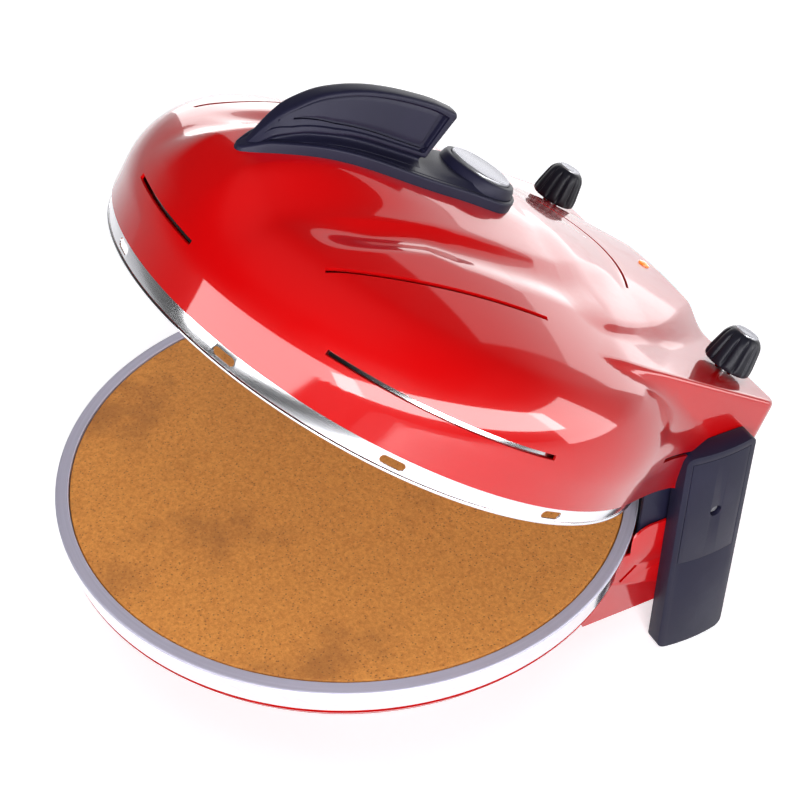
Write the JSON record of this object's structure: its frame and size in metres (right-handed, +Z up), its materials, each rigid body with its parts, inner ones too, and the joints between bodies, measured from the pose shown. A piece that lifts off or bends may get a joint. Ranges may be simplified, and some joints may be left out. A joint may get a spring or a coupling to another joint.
{
  "type": "countertop pizza oven",
  "caption": "Round countertop pizza oven: a stone in a bowl-shaped base, two slab legs at the back, and a hinged domed lid with a handle and control knobs.",
  "frame": {"origin": "centre of the footprint of the oven with its lid ajar, on the table under the feet", "axes": "+X to the oven's right side as seen from behind the hinge towards the front, +Y from the handle side to the hinge side, +Z up"},
  "size_m": [0.3312, 0.3723, 0.3403],
  "materials": {
    "red_enamel": "gloss",
    "slate_plastic": "fine satin grain",
    "black_plastic": "fine satin grain",
    "steel_ring": "satin",
    "bright_steel": "polished",
    "zinc_steel": "satin",
    "chrome_metal": "polished",
    "heating_tube": "heat-darkened",
    "stone": "matte fired clay",
    "black_rubber": "matte",
    "ceramic_body": "matte",
    "amber_lens": "clear gloss"
  },
  "bodies": {
    "base": {"base_shell": "red_enamel", "rim_ring": "steel_ring", "heater_pan": "bright_steel", "baking_stone": "stone", "lower_element": "heating_tube", "lower_element_clips": "bright_steel", "centre_bolt": "zinc_steel", "bottom_plate": "zinc_steel", "bottom_screws": "zinc_steel", "front_foot_left": "slate_plastic", "front_foot_right": "slate_plastic", "foot_pads": "black_rubber", "rear_deck": "slate_plastic", "terminal_block": "ceramic_body", "cable_gland": "black_rubber", "leg_left": "slate_plastic", "leg_right": "slate_plastic", "leg_cover_left": "black_plastic", "leg_cover_right": "black_plastic", "hinge_bracket_left": "slate_plastic", "hinge_bracket_right": "slate_plastic", "hinge_bolt_left": "chrome_metal", "hinge_bolt_right": "chrome_metal", "hinge_nuts": "zinc_steel", "leg_screws": "zinc_steel"},
    "lid": {"lid_shell": "red_enamel", "lid_reflector": "bright_steel", "upper_element": "heating_tube", "upper_element_clips": "bright_steel", "lid_rear_cover": "slate_plastic", "hinge_arm_left": "zinc_steel", "hinge_arm_right": "zinc_steel", "hinge_arm_screws": "zinc_steel", "handle_plate": "slate_plastic", "handle_grip": "slate_plastic", "grip_inset_left": "black_plastic", "grip_inset_right": "black_plastic", "centre_disc": "chrome_metal", "handle_screws": "zinc_steel", "thermostat_left": "ceramic_body", "thermostat_right": "ceramic_body", "pilot_lens": "amber_lens", "pilot_lamp": "ceramic_body"},
    "knob_left": {"knob_left": "black_plastic", "knob_cap_left": "chrome_metal", "knob_shaft_left": "zinc_steel"},
    "knob_right": {"knob_right": "black_plastic", "knob_cap_right": "chrome_metal", "knob_shaft_right": "zinc_steel"}
  },
  "joints": [
    {"name": "lid_hinge", "type": "hinge", "parent": "base", "child": "lid", "pos_m": [0, 0.13904, 0.105], "axis": [-1, 0, 0], "range_deg": [-32.4, 59.6]},
    {"name": "knob_left_turn", "type": "hinge", "parent": "lid", "child": "knob_left", "pos_m": [-0.091, 0.1647, 0.17399], "axis": [0, -0.5358, -0.8443], "range_deg": [0, 270]},
    {"name": "knob_right_turn", "type": "hinge", "parent": "lid", "child": "knob_right", "pos_m": [0.091, 0.1647, 0.17399], "axis": [0, -0.5358, -0.8443], "range_deg": [0, 270]}
  ]
}
